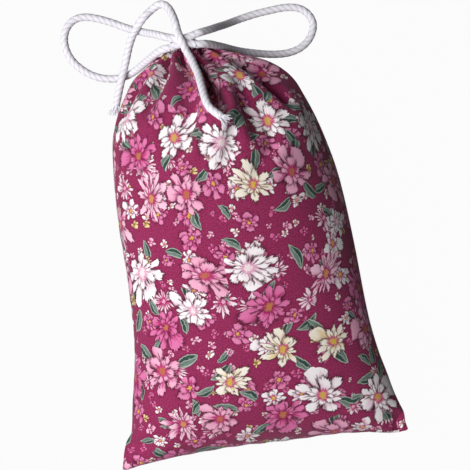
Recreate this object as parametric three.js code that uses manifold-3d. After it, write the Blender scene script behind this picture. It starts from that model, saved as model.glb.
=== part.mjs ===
// Gathered cotton sachet filled with dried lavender, tied with a cord bow and lying on its back.
// Millimetres. X runs across the bag, Y from the bottom seam to the neck, Z up from the surface below.
import * as THREE from 'three';
import { mergeVertices } from 'three/addons/utils/BufferGeometryUtils.js';
import Module from 'manifold-3d';

const wasm = await Module();
wasm.setup();

// Bag
const bodyLength = 137; // bottom seam to the foot of the gathered hem
const bottomWidth = 97; // between the two bottom corners
const waistWidth = 78; // across the middle of the filled bag
const shoulderWidth = 57; // where the sides turn in to the neck
const bagHeight = 42; // thickness of the filled bag
const seamHeight = 15.2; // side seams above the surface
const bottomSeamHeight = 12;
const neckHeight = 12; // centre of the neck above the surface
const neckLean = 10.2; // the neck stands this far left of the bottom's middle
const neckRadius = 7;
const clothThickness = 0.5;
const flatSink = 3; // how far the rounded back is pressed flat by its own weight

// Gathers below the neck: share of the way across the panel from its left seam, and depth at the neck
const frontFoldShares = [0.11, 0.25, 0.39, 0.53, 0.69, 0.85];
const frontFoldDepths = [3, 3.2, 2.2, 4.8, 1.6, 4.6];
const backFoldShares = [0.12, 0.28, 0.42, 0.56, 0.72, 0.88];
const backFoldDepths = [3, 4, 2.6, 3.6, 4.2, 3];

// Seams and hem
const seamAllowance = 5;
const threadDiameter = 0.4;
const pleatsPerPanel = 6; // of the hem
const pleatDepth = 0.9;
const casingLength = 4.4;
const casingTipRadius = 3.6;
const neckHoleRadius = 0.8;

// Cord
const cordDiameter = 2.6;
const neckCordRadius = 3; // ring of cord drawn up inside the hem
const knotWidth = 8;
const knotLength = 6.8;
const knotHeight = 6.4;

// Space between pieces that touch
const gap = 0.3;

const cordRadius = cordDiameter / 2;
const threadRadius = threadDiameter / 2;
const hemColumns = 4 * pleatsPerPanel;
const casingStart = bodyLength + 2 * gap + threadDiameter;
const bagLength = casingStart + casingLength;
const middleY = bagLength / 2;

const printedCotton = new THREE.MeshStandardMaterial({ color: 0x9a2453, roughness: 0.9, metalness: 0 });
const whiteCotton = new THREE.MeshStandardMaterial({ color: 0xe9e6ec, roughness: 0.9, metalness: 0 });
const sewingThread = new THREE.MeshStandardMaterial({ color: 0x7d1c45, roughness: 0.8, metalness: 0 });
const driedLavender = new THREE.MeshStandardMaterial({ color: 0x6f6791, roughness: 1, metalness: 0 });

const bag = new THREE.Group();
bag.name = 'lavender_sachet';
bag.position.y = -middleY;

function addPiece(name, geometry, material) {
  const mesh = new THREE.Mesh(geometry, material.clone());
  mesh.name = name;
  bag.add(mesh);
}

function mix(a, b, share) {
  return a + (b - a) * share;
}

// Smooth curve through a few points, read as a height over the first number of each
function smooth(points) {
  const slopes = points.map((point, i) => {
    const before = points[Math.max(i - 1, 0)];
    const after = points[Math.min(i + 1, points.length - 1)];
    return (after[1] - before[1]) / (after[0] - before[0]);
  });
  return (at) => {
    let i = 0;
    while (i < points.length - 2 && at > points[i + 1][0]) {
      i += 1;
    }
    const span = points[i + 1][0] - points[i][0];
    const t = THREE.MathUtils.clamp((at - points[i][0]) / span, 0, 1);
    const rise = points[i + 1][1] - points[i][1];
    const bend = slopes[i] * span - rise;
    const unbend = rise - slopes[i + 1] * span;
    return points[i][1] + rise * t + t * (1 - t) * (bend * (1 - t) + unbend * t);
  };
}

// Shape of the filled bag, each as a function of the share of the body's length from the bottom seam
const halfWidth = smooth([
  [0, bottomWidth / 2],
  [0.16, mix(waistWidth, bottomWidth, 0.47) / 2],
  [0.31, mix(waistWidth, bottomWidth, 0.11) / 2],
  [0.5, waistWidth / 2],
  [0.66, mix(shoulderWidth, waistWidth, 0.92) / 2],
  [0.77, mix(shoulderWidth, waistWidth, 0.67) / 2],
  [0.84, mix(shoulderWidth, waistWidth, 0.4) / 2],
  [0.91, shoulderWidth / 2],
  [0.955, mix(neckRadius, shoulderWidth / 2, 0.75)],
  [0.982, mix(neckRadius, shoulderWidth / 2, 0.34)],
  [1, neckRadius],
]);
const sideShift = smooth([
  [0, 0],
  [0.45, 0],
  [0.77, -0.25 * neckLean],
  [0.91, -0.4 * neckLean],
  [0.955, -0.56 * neckLean],
  [1, -neckLean],
]);
const seamLine = smooth([
  [0, bottomSeamHeight],
  [0.25, mix(bottomSeamHeight, seamHeight, 0.45)],
  [0.5, mix(bottomSeamHeight, seamHeight, 0.9)],
  [0.8, seamHeight],
  [1, neckHeight],
]);
// The filling lies fullest below the gathers, and the bag rests flat on the surface
const frontRise = bagHeight - seamHeight;
const frontSwell = smooth([
  [0, 0],
  [0.03, frontRise * 0.22],
  [0.1, frontRise * 0.53],
  [0.2, frontRise * 0.72],
  [0.37, frontRise * 0.84],
  [0.55, frontRise * 0.9],
  [0.72, frontRise],
  [0.8, frontRise * 0.95],
  [0.87, frontRise * 0.8],
  [0.93, frontRise * 0.58],
  [0.98, frontRise * 0.34],
  [1, neckRadius],
]);
const backDrop = seamHeight + flatSink;
const backSwell = smooth([
  [0, 0],
  [0.03, backDrop * 0.4],
  [0.1, backDrop * 0.77],
  [0.22, backDrop],
  [0.7, backDrop],
  [0.86, backDrop * 0.92],
  [0.92, backDrop * 0.72],
  [0.965, backDrop * 0.52],
  [1, neckRadius],
]);
const foldShare = smooth([
  [0.8, 0],
  [0.85, 0.3],
  [0.9, 0.65],
  [0.95, 0.95],
  [1, 1],
]);

// Sections have full sides at the bottom seam; further up the front is round and the back pressed flat
function fullness(share, isFront) {
  const side = isFront ? 1 : 0.45;
  return mix(0.75, side, THREE.MathUtils.smoothstep(share, 0.05, 0.32));
}

// Ridges between the gathers of a panel, and one on the outer side of its first and its last
function ridgesOf(folds) {
  const between = folds.slice(1).map((fold, k) => (fold + folds[k]) / 2);
  const first = 2 * folds[0] - between[0];
  const last = 2 * folds[folds.length - 1] - between[between.length - 1];
  return [first, ...between, last];
}

function foldDepth(across, isFront) {
  const folds = isFront ? frontFoldShares : backFoldShares;
  const depths = isFront ? frontFoldDepths : backFoldDepths;
  const ridges = ridgesOf(folds);
  const k = ridges.findIndex((ridge, i) => across >= ridge && across < ridges[i + 1]);
  if (k < 0) {
    return 0;
  }
  const ridge = across < folds[k] ? ridges[k] : ridges[k + 1];
  const fromFold = (across - folds[k]) / (ridge - folds[k]);
  return depths[k] * (0.5 + 0.5 * Math.cos(Math.PI * fromFold));
}

function panelPoint(share, across, isFront) {
  const angle = Math.PI * across;
  const side = isFront ? 1 : -1;
  const swell = isFront ? frontSwell(share) : backSwell(share);
  const out = halfWidth(share) * Math.cos(angle);
  const rise = swell * Math.sin(angle) ** fullness(share, isFront);
  const depth = foldShare(share) * foldDepth(across, isFront);
  const drawnIn = 1 - depth / Math.hypot(out, rise, gap);
  const onSideSeam = share > 0 && Math.sin(angle) < 1e-6;
  const edge = onSideSeam ? gap / 2 : clothThickness + gap / 2;
  const z = Math.max(0, seamLine(share) + side * Math.max(rise * drawnIn, edge));
  return new THREE.Vector3(sideShift(share) - out * drawnIn, share * bodyLength, z);
}

// Rows are closer together where the bag turns
const rows = [0, 0.012, 0.035, 0.075, 0.13, 0.2, 0.28, 0.37, 0.46, 0.55, 0.64, 0.72, 0.79, 0.85, 0.9, 0.94,
  0.968, 0.987, 1];

// Columns follow the gathers: the bottom of each, its ridges and the middle of its slopes
function columnsOf(folds) {
  const ridges = ridgesOf(folds);
  const inner = folds.flatMap((fold, k) => {
    const next = ridges[k + 1];
    return [(ridges[k] + fold) / 2, fold, (fold + next) / 2, next];
  });
  return [0, ridges[0], ...inner, 1];
}

function panelGrid(isFront) {
  const columns = columnsOf(isFront ? frontFoldShares : backFoldShares);
  return rows.map((share) => columns.map((across) => panelPoint(share, across, isFront)));
}

// Outward directions of a panel; the cloth lies flat on its seams and square to the neck
function panelNormals(grid, isFront) {
  const side = isFront ? 1 : -1;
  const last = grid.length - 1;
  const edge = grid[0].length - 1;
  return grid.map((row, j) => row.map((point, i) => {
    const across = row[Math.min(i + 1, edge)].clone().sub(row[Math.max(i - 1, 0)]);
    const along = grid[Math.min(j + 1, last)][i].clone().sub(grid[Math.max(j - 1, 0)][i]);
    const normal = across.cross(along).multiplyScalar(side).normalize();
    if (i === 0 || i === edge) {
      normal.set(along.y, -along.x, 0).multiplyScalar(i === 0 ? -1 : 1);
    }
    if (j === 0) {
      normal.set(0, 0, side);
    }
    if (j === last) {
      normal.y = 0;
    }
    return normal.normalize();
  }));
}

// The same panel further in, never past the level of its seams
function inset(grid, normals, depth, isFront) {
  const side = isFront ? 1 : -1;
  return grid.map((row, j) => row.map((point, i) => {
    const inner = point.clone().addScaledVector(normals[j][i], -depth);
    const seam = seamLine(inner.y / bodyLength);
    inner.z = seam + side * Math.max(gap / 2, side * (inner.z - seam));
    return inner;
  }));
}

// Closed surface from rings of points; each ring is joined to the next and the two ends are covered
function loft(rings) {
  const positions = [];
  const indices = [];
  const count = rings[0].length;
  rings.flat().forEach((point) => positions.push(point.x, point.y, point.z));
  for (let j = 0; j < rings.length - 1; j += 1) {
    for (let i = 0; i < count; i += 1) {
      const next = (i + 1) % count;
      const a = j * count + i;
      const b = j * count + next;
      indices.push(a, b, b + count, a, b + count, a + count);
    }
  }
  [0, rings.length - 1].forEach((j) => {
    const middle = new THREE.Vector3();
    rings[j].forEach((point) => middle.add(point));
    middle.divideScalar(count);
    const centre = positions.length / 3;
    positions.push(middle.x, middle.y, middle.z);
    for (let i = 0; i < count; i += 1) {
      const a = j * count + i;
      const b = j * count + ((i + 1) % count);
      indices.push(...(j === 0 ? [b, a, centre] : [a, b, centre]));
    }
  });
  return turnedOut(positions, indices);
}

// The same faces, turned round if they would face inwards
function turnedOut(positions, indices) {
  let volume = 0;
  const corner = (i) => new THREE.Vector3().fromArray(positions, 3 * indices[i]);
  for (let i = 0; i < indices.length; i += 3) {
    volume += corner(i).dot(corner(i + 1).cross(corner(i + 2)));
  }
  const geometry = new THREE.BufferGeometry();
  geometry.setAttribute('position', new THREE.Float32BufferAttribute(positions, 3));
  geometry.setIndex(volume < 0 ? indices.slice().reverse() : indices);
  geometry.computeVertexNormals();
  return geometry;
}

// Sheet of cloth between an outer and an inner grid, closed along its four edges
function sheet(outer, inner) {
  const rowCount = outer.length;
  const width = outer[0].length;
  const positions = [];
  const indices = [];
  [outer, inner].forEach((grid) => grid.flat().forEach((point) => positions.push(point.x, point.y, point.z)));
  const at = (layer, j, i) => (layer * rowCount + j) * width + i;
  for (let j = 0; j < rowCount - 1; j += 1) {
    for (let i = 0; i < width - 1; i += 1) {
      indices.push(at(0, j, i), at(0, j, i + 1), at(0, j + 1, i + 1));
      indices.push(at(0, j, i), at(0, j + 1, i + 1), at(0, j + 1, i));
      indices.push(at(1, j, i), at(1, j + 1, i + 1), at(1, j, i + 1));
      indices.push(at(1, j, i), at(1, j + 1, i), at(1, j + 1, i + 1));
    }
  }
  const edge = (j, i, nextJ, nextI) => {
    indices.push(at(0, j, i), at(1, j, i), at(1, nextJ, nextI));
    indices.push(at(0, j, i), at(1, nextJ, nextI), at(0, nextJ, nextI));
  };
  for (let i = 0; i < width - 1; i += 1) {
    edge(0, i, 0, i + 1);
    edge(rowCount - 1, i + 1, rowCount - 1, i);
  }
  for (let j = 0; j < rowCount - 1; j += 1) {
    edge(j + 1, 0, j, 0);
    edge(j, width - 1, j + 1, width - 1);
  }
  return turnedOut(positions, indices);
}

function toSolid(geometry) {
  const bare = new THREE.BufferGeometry();
  bare.setAttribute('position', geometry.getAttribute('position'));
  bare.setIndex(geometry.index);
  const merged = mergeVertices(bare, 1e-4);
  return new wasm.Manifold(new wasm.Mesh({
    numProp: 3,
    vertProperties: merged.attributes.position.array,
    triVerts: new Uint32Array(merged.index.array),
  }));
}

function toGeometry(solid) {
  const mesh = solid.getMesh();
  const geometry = new THREE.BufferGeometry();
  geometry.setAttribute('position', new THREE.BufferAttribute(new Float32Array(mesh.vertProperties), 3));
  geometry.setIndex(new THREE.BufferAttribute(new Uint32Array(mesh.triVerts), 1));
  geometry.computeVertexNormals();
  return geometry;
}

function placed(geometry, x, y, z) {
  return toSolid(geometry.translate(x, y, z));
}

// Front and back panels, sewn together down both sides and along the bottom
const grids = [true, false].map((isFront) => panelGrid(isFront));
const normals = grids.map((grid, k) => panelNormals(grid, k === 0));
['front_panel', 'back_panel'].forEach((name, k) => {
  addPiece(name, sheet(grids[k], inset(grids[k], normals[k], clothThickness, k === 0)), printedCotton);
});

// A seam's stations: the point on the seam and the level direction into the bag
function sideStations(across, from, to) {
  const stations = [];
  const steps = 14;
  for (let k = 0; k <= steps; k += 1) {
    const share = mix(from, to, k / steps);
    const point = panelPoint(share, across, true);
    const ahead = panelPoint(share + 0.004, across, true);
    const inward = new THREE.Vector3(ahead.y - point.y, point.x - ahead.x, 0).normalize();
    inward.multiplyScalar(across === 0 ? 1 : -1);
    point.z = seamLine(share);
    stations.push({ point, inward });
  }
  return stations;
}

function bottomStations() {
  const stations = [];
  const steps = 8;
  const reach = 0.7 * (bottomWidth / 2);
  for (let k = 0; k <= steps; k += 1) {
    const x = mix(-reach, reach, k / steps);
    stations.push({
      point: new THREE.Vector3(x, 0, bottomSeamHeight),
      inward: new THREE.Vector3(0, 1, 0),
    });
  }
  return stations;
}

// Runs a section along a seam; the section is measured inwards from the seam and upwards
function alongSeam(stations, section) {
  return loft(stations.map(({ point, inward }) => section.map(([depth, up]) => {
    const placedPoint = point.clone().addScaledVector(inward, depth);
    placedPoint.z += up;
    return placedPoint;
  })));
}

function threadSection(depth) {
  const section = [];
  for (let k = 0; k < 4; k += 1) {
    const turn = (Math.PI * k) / 2;
    section.push([depth + threadRadius * Math.cos(turn), threadRadius * Math.sin(turn)]);
  }
  return section;
}

function allowanceSection(start, grow) {
  const low = -clothThickness - grow;
  const high = clothThickness + grow;
  const near = start - grow;
  const far = start + seamAllowance + grow;
  return [[near, low], [far, low], [far, high], [near, high]];
}

// Each seam's thread runs just inside the cloth edges, with the turned-in allowances behind it
const seams = [
  { name: 'left', stations: sideStations(0, 0.12, 0.9), threadDepth: clothThickness + gap + threadRadius },
  { name: 'right', stations: sideStations(1, 0.12, 0.9), threadDepth: clothThickness + gap + threadRadius },
  { name: 'bottom', stations: bottomStations(), threadDepth: clothThickness },
];

// Dried buds fill the bag up to its cloth, and leave room for the turned-in allowances
const fillingDepth = clothThickness + gap;
const fillingGrids = grids.map((grid, k) => inset(grid, normals[k], fillingDepth, k === 0).slice(3, -2));
const fillingTop = fillingGrids.map((grid) => grid[grid.length - 1]);
const fillingMiddle = new THREE.Vector3();
fillingTop.flat().forEach((point) => fillingMiddle.addScaledVector(point, 0.5 / fillingTop[0].length));
fillingTop.flat().forEach((point) => point.lerp(fillingMiddle, 0.12));
let filling = toSolid(sheet(fillingGrids[0], fillingGrids[1]));

seams.forEach(({ name, stations, threadDepth }) => {
  const allowanceStart = threadDepth + threadRadius + gap;
  addPiece(`${name}_seam_thread`, alongSeam(stations, threadSection(threadDepth)), sewingThread);
  addPiece(`${name}_seam_allowance`, alongSeam(stations, allowanceSection(allowanceStart, 0)), printedCotton);
  if (name !== 'bottom') {
    const room = allowanceSection(allowanceStart, gap);
    const slot = [[-1, room[0][1]], room[1], room[2], [-1, room[3][1]]];
    const ends = [stations[0], stations[stations.length - 1]].map(({ point, inward }, k) => {
      const beyond = point.clone();
      beyond.y += (k === 0 ? -1 : 1) * gap;
      return { point: beyond, inward };
    });
    filling = filling.subtract(toSolid(alongSeam([ends[0], ...stations, ends[1]], slot)));
  }
});
addPiece('lavender_filling', toGeometry(filling), driedLavender);

// Gathered hem: a pleated cone round the neck, cut into the front and back panels' halves
const neckX = -neckLean;
const cordY = casingStart + casingLength / 2;

function pleatedRing(radius, y) {
  const ring = [];
  for (let i = 0; i < 2 * hemColumns; i += 1) {
    const turn = (Math.PI * i) / hemColumns;
    const pleated = radius * (1 + (pleatDepth / neckRadius) * Math.cos(2 * pleatsPerPanel * turn));
    ring.push(new THREE.Vector3(neckX - pleated * Math.cos(turn), y, neckHeight + pleated * Math.sin(turn)));
  }
  return ring;
}

const casingProfile = smooth([
  [0, neckRadius],
  [0.45, mix(casingTipRadius, neckRadius, 0.76)],
  [0.8, mix(casingTipRadius, neckRadius, 0.42)],
  [1, casingTipRadius],
]);
const casingRings = [0, 0.25, 0.5, 0.75, 0.9, 1].map((share) => (
  pleatedRing(casingProfile(share), casingStart + share * casingLength)
));
const channelRadius = cordRadius + gap;
const channel = new THREE.TorusGeometry(neckCordRadius, channelRadius, 8, 20).rotateX(Math.PI / 2);
const hole = new THREE.CylinderGeometry(neckHoleRadius, neckHoleRadius, 3 * casingLength, 12);
const cordExit = new THREE.CylinderGeometry(channelRadius, channelRadius, 3 * neckRadius, 12);
cordExit.rotateX(Math.PI / 2);
const casing = toSolid(loft(casingRings))
  .subtract(placed(channel, neckX, cordY, neckHeight))
  .subtract(placed(hole, neckX, cordY, neckHeight))
  .subtract(placed(cordExit, neckX, cordY, neckHeight + 1.5 * neckRadius));
['front_casing', 'back_casing'].forEach((name, k) => {
  const side = k === 0 ? 1 : -1;
  const half = new THREE.BoxGeometry(6 * neckRadius, 6 * neckRadius, 2 * neckRadius);
  const halfZ = neckHeight + side * (neckRadius + gap / 2);
  addPiece(name, toGeometry(casing.intersect(placed(half, neckX, cordY, halfZ))), printedCotton);
});

// Row of stitches under the hem, one thread for each panel
['front_casing_thread', 'back_casing_thread'].forEach((name, k) => {
  const side = k === 0 ? 1 : -1;
  const threadY = bodyLength + gap + threadRadius;
  const stations = [];
  for (let i = 1; i < hemColumns; i += 1) {
    const outer = pleatedRing(neckRadius - clothThickness / 2, threadY)[side === 1 ? i : 2 * hemColumns - i];
    stations.push(outer);
  }
  const rings = stations.map((point) => {
    const out = point.clone().sub(new THREE.Vector3(neckX, threadY, neckHeight)).normalize();
    const ring = [];
    for (let n = 0; n < 4; n += 1) {
      const turn = (Math.PI * n) / 2;
      const spot = point.clone().addScaledVector(out, threadRadius * Math.cos(turn));
      spot.y += threadRadius * Math.sin(turn);
      ring.push(spot);
    }
    return ring;
  });
  addPiece(name, loft(rings), sewingThread);
});

// Cord tube along a route
function cordTube(curve, steps) {
  const section = new THREE.Shape();
  for (let k = 0; k < 8; k += 1) {
    const turn = (Math.PI * (k + 0.5)) / 4;
    const x = cordRadius * Math.cos(turn);
    const y = cordRadius * Math.sin(turn);
    if (k === 0) {
      section.moveTo(x, y);
    } else {
      section.lineTo(x, y);
    }
  }
  section.closePath();
  return new THREE.ExtrudeGeometry(section, { steps, extrudePath: curve, bevelEnabled: false });
}

// Ring of cord inside the hem, open at the front where both ends come out
const exitAngle = THREE.MathUtils.degToRad(50);
const ringPoints = [];
for (let k = 0; k <= 16; k += 1) {
  const turn = Math.PI / 2 + exitAngle + (2 * Math.PI - 2 * exitAngle) * (k / 16);
  ringPoints.push(new THREE.Vector3(
    neckX + neckCordRadius * Math.cos(turn),
    cordY,
    neckHeight + neckCordRadius * Math.sin(turn),
  ));
}
addPiece('neck_cord', cordTube(new THREE.CatmullRomCurve3(ringPoints), 16), whiteCotton);

// Knot of the bow: a ball of cord with one turn over its middle, and its root in the hem
const casingTop = casingProfile(0.2) * (1 + pleatDepth / neckRadius);
const knotZ = neckHeight + casingTop + gap + knotHeight / 2;
const knotBall = new THREE.SphereGeometry(1, 16, 10);
knotBall.scale(0.55 * knotWidth, 0.52 * knotLength, 0.45 * knotHeight);
const wrapRadius = knotHeight / 2 - cordRadius;
const knotWrap = new THREE.TorusGeometry(wrapRadius, cordRadius, 8, 16).rotateY(Math.PI / 2);
const rootBottom = neckHeight + neckCordRadius / 2;
const root = new THREE.CylinderGeometry(cordRadius, cordRadius, knotZ - rootBottom, 10).rotateX(Math.PI / 2);
const knotBounds = new THREE.BoxGeometry(knotWidth, knotLength, 4 * knotHeight);
const knot = placed(knotBall, neckX, cordY, knotZ)
  .add(placed(knotWrap, neckX, cordY, knotZ))
  .add(placed(root, neckX, cordY, (knotZ + rootBottom) / 2))
  .intersect(placed(knotBounds, neckX, cordY, knotZ));
addPiece('bow_knot', toGeometry(knot), whiteCotton);

// Routes of the free cord, measured from the knot's middle across and along the bag.
// The third number is the share of the knot's height that the cord still has,
// and the fourth says how many cords it lies on.
const lyingZ = cordRadius + gap / 2;
const loopStart = knotWidth / 2 + gap;
const tailStart = knotLength / 2 + gap;

function routePoints(route) {
  return route.map(([x, y, height, over]) => new THREE.Vector3(
    neckX + x,
    cordY + y,
    mix(lyingZ, knotZ, height) + over * (cordDiameter + gap),
  ));
}

const leftLoopRoute = [
  [-loopStart, 1.7, 1, 0], [-5.9, 2.3, 0.98, 0], [-9, 4.1, 0.8, 0], [-12.2, 5.9, 0.54, 0],
  [-15.4, 7.9, 0.28, 0], [-18.6, 9.8, 0.07, 0], [-21.6, 11.5, 0, 0], [-24.7, 13.1, 0, 0],
  [-29.5, 15.1, 0, 0], [-33.6, 16.1, 0, 0], [-37, 15.7, 0, 0], [-39.6, 13.9, 0, 0], [-41.2, 11.1, 0, 0],
  [-41.7, 8, 0, 0], [-41.2, 4.6, 0, 0], [-39.6, 1.1, 0, 0], [-36.8, -2.1, 0, 0], [-33.3, -4.7, 0, 0],
  [-29.1, -6.3, 0, 0], [-24.7, -6.8, 0, 0], [-20.8, -6.3, 0.05, 0], [-16.8, -5, 0.24, 0],
  [-14, -3.9, 0.45, 0], [-11.4, -3, 0.65, 0], [-9, -2.3, 0.84, 0], [-6.5, -1.8, 0.97, 0],
  [-loopStart, -1.7, 1, 0],
];
const rightLoopRoute = [
  [loopStart, 1.7, 1, 0], [6.4, 2.2, 0.98, 0], [9.8, 3.4, 0.79, 0], [12.4, 4.7, 0.56, 0],
  [15, 6, 0.31, 0], [17.6, 7.2, 0.13, 0], [20.4, 8.2, 0.03, 0], [25.6, 9.3, 0, 0], [30.7, 9.9, 0, 0],
  [35.6, 10.3, 0, 0], [39.6, 10, 0, 0], [42.7, 8.8, 0, 0], [44.9, 6.5, 0, 0], [45.9, 3.6, 0, 0],
  [45.2, 0.4, 0, 0], [43, -2.7, 0, 0], [39.6, -4.8, 0, 0], [35.4, -5.7, 0, 0], [30.7, -5.5, 0, 0],
  [26.2, -4.7, 0, 0], [21.5, -3.7, 0.05, 0], [18.8, -3.2, 0.15, 0], [16.4, -2.8, 0.29, 0],
  [14, -2.4, 0.48, 0], [11.6, -2.1, 0.67, 0], [9.2, -1.8, 0.85, 0], [6.9, -1.7, 0.97, 0],
  [loopStart, -1.7, 1, 0],
];
const leftTailRoute = [
  [-1.3, tailStart, 1, 0], [-1.5, 5.6, 0.99, 0], [-2, 8.4, 0.93, 0], [-3.1, 11.8, 0.83, 0],
  [-4.7, 13.8, 0.76, 0], [-6.7, 14.2, 0.7, 0.1], [-9.2, 13.2, 0.58, 0.4], [-12, 11.1, 0.53, 0.8],
  [-14.5, 8.9, 0.43, 1], [-16.8, 6.4, 0.3, 1], [-18.7, 3.3, 0.19, 1], [-20.2, -0.2, 0.1, 1],
  [-21.6, -3.8, 0.05, 1], [-23, -7.4, 0.04, 1], [-24.5, -11, 0.04, 0.5], [-26, -14.8, 0.01, 0.1],
  [-27.6, -19.2, 0, 0],
];
addPiece('left_loop', cordTube(new THREE.CatmullRomCurve3(routePoints(leftLoopRoute)), 30), whiteCotton);
addPiece('right_loop', cordTube(new THREE.CatmullRomCurve3(routePoints(rightLoopRoute)), 30), whiteCotton);
addPiece('left_tail', cordTube(new THREE.CatmullRomCurve3(routePoints(leftTailRoute)), 16), whiteCotton);

// The other end hangs from the knot over the bag's front and lies on the cloth
function frontHeight(x, y) {
  const share = Math.min(y / bodyLength, 1);
  const heights = [-cordRadius, 0, cordRadius].map((off) => {
    const angle = Math.acos(THREE.MathUtils.clamp((sideShift(share) - x - off) / halfWidth(share), -1, 1));
    return panelPoint(share, angle / Math.PI, true).z;
  });
  return Math.max(...heights);
}

const frontTailZ = knotZ + cordRadius / 2;
const frontTailRoute = [
  [0.9, -tailStart], [1.3, -4.8], [2, -6.3], [2.6, -8.2], [3.1, -10.1], [3.7, -12.1], [4.1, -14.3],
  [4.4, -16.6], [4.7, -18.8], [5, -21.1], [5.4, -22.9], [5.9, -24.5], [6.7, -25.8], [7.7, -26.9],
  [8.8, -28], [10.1, -29.2], [11.4, -30.4],
];
const frontTailPoints = frontTailRoute.map(([x, y], i) => {
  const point = new THREE.Vector3(neckX + x, cordY + y, frontTailZ);
  if (i > 1) {
    const slope = frontHeight(point.x, point.y - 0.5) - frontHeight(point.x, point.y + 0.5);
    const lift = (cordRadius + gap) * Math.hypot(1, slope);
    point.z = Math.max(frontTailZ, frontHeight(point.x, point.y) + lift);
  }
  return point;
});
addPiece('front_tail', cordTube(new THREE.CatmullRomCurve3(frontTailPoints), 12), whiteCotton);

export default bag;
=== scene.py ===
# Gathered cotton sachet of dried lavender, tied with a white cord bow and lying on its back.
import math
from functools import partial, reduce

import bpy
import numpy as np
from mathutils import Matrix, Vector
from mathutils.bvhtree import BVHTree


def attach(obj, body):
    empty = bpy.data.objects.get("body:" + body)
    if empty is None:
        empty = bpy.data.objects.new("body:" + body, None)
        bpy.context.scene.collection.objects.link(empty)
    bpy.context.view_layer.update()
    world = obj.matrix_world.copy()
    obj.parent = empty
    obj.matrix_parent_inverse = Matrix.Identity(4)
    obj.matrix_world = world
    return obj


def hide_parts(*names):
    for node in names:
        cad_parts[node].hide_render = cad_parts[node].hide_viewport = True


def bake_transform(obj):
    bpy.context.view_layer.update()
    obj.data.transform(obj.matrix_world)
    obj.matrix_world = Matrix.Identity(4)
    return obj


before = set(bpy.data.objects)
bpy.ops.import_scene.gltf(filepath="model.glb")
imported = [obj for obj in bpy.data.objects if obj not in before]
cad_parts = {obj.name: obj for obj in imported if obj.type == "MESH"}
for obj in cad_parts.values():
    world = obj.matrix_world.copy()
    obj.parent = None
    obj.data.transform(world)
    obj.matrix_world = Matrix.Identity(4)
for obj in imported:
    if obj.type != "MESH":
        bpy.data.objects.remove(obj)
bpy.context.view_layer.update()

# Free cord: soft white cotton cord that comes out of the hem's front and is tied in a bow.
# The loops and one tail lie beside the neck on the surface, and each route is measured from the knot's
# middle in mm: across, along, share of the knot's height, and how many cords it lies on.
MM = 0.001
CORD = 2.6
CORD_GAP = 0.3
NECK_X, CORD_Y, KNOT_Z = -10.2, 69.0, 23.03
LYING_Z = CORD / 2 + CORD_GAP / 2

LEFT_LOOP = [
    (-4.3, 1.7, 1, 0), (-5.9, 2.3, .98, 0), (-9, 4.1, .8, 0), (-12.2, 5.9, .54, 0), (-15.4, 7.9, .28, 0),
    (-18.6, 9.8, .07, 0), (-21.6, 11.5, 0, 0), (-24.7, 13.1, 0, 0), (-29.5, 15.1, 0, 0), (-33.6, 16.1, 0, 0),
    (-37, 15.7, 0, 0), (-39.6, 13.9, 0, 0), (-41.2, 11.1, 0, 0), (-41.7, 8, 0, 0), (-41.2, 4.6, 0, 0),
    (-39.6, 1.1, 0, 0), (-36.8, -2.1, 0, 0), (-33.3, -4.7, 0, 0), (-29.1, -6.3, 0, 0), (-24.7, -6.8, 0, 0),
    (-20.8, -6.3, .05, 0), (-16.8, -5, .24, 0), (-14, -3.9, .45, 0), (-11.4, -3, .65, 0), (-9, -2.3, .84, 0),
    (-6.5, -1.8, .97, 0), (-4.3, -1.7, 1, 0),
]
RIGHT_LOOP = [
    (4.3, 1.7, 1, 0), (6.4, 2.2, .98, 0), (9.8, 3.4, .79, 0), (12.4, 4.7, .56, 0), (15, 6, .31, 0),
    (17.6, 7.2, .13, 0), (20.4, 8.2, .03, 0), (25.6, 9.3, 0, 0), (30.7, 9.9, 0, 0), (35.6, 10.3, 0, 0),
    (39.6, 10, 0, 0), (42.7, 8.8, 0, 0), (44.9, 6.5, 0, 0), (45.9, 3.6, 0, 0), (45.2, .4, 0, 0),
    (43, -2.7, 0, 0), (39.6, -4.8, 0, 0), (35.4, -5.7, 0, 0), (30.7, -5.5, 0, 0), (26.2, -4.7, 0, 0),
    (21.5, -3.7, .05, 0), (18.8, -3.2, .15, 0), (16.4, -2.8, .29, 0), (14, -2.4, .48, 0),
    (11.6, -2.1, .67, 0), (9.2, -1.8, .85, 0), (6.9, -1.7, .97, 0), (4.3, -1.7, 1, 0),
]
LEFT_TAIL = [
    (-.85, 1.9, 1, .43), (-1.05, 2.6, 1, .28), (-1.3, 3.7, 1, 0), (-1.5, 5.6, .99, 0), (-2, 8.4, .93, 0),
    (-3.1, 11.8, .83, 0), (-4.7, 13.8, .76, 0), (-6.7, 14.2, .7, .1), (-9.2, 13.2, .58, .4),
    (-12, 11.1, .53, .8), (-14.5, 8.9, .43, 1), (-16.8, 6.4, .3, 1), (-18.7, 3.3, .19, 1),
    (-20.2, -.2, .1, 1), (-21.6, -3.8, .05, 1), (-23, -7.4, .04, 1), (-24.5, -11, .04, .5),
    (-26, -14.8, .01, .1), (-27.6, -19.2, 0, 0),
]
FRONT_TAIL = [
    (.9, -3.7), (1.3, -4.8), (2, -6.3), (2.6, -8.2), (3.1, -10.1), (3.7, -12.1), (4.1, -14.3), (4.4, -16.6),
    (4.7, -18.8), (5, -21.1), (5.4, -22.9), (5.9, -24.5), (6.7, -25.8), (7.7, -26.9), (8.8, -28),
    (10.1, -29.2), (11.4, -30.4),
]


def run_along(line):
    """Length along a line of points up to each of them."""
    return np.concatenate([[0], np.cumsum(np.linalg.norm(np.diff(line, axis=0), axis=1))])


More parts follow.
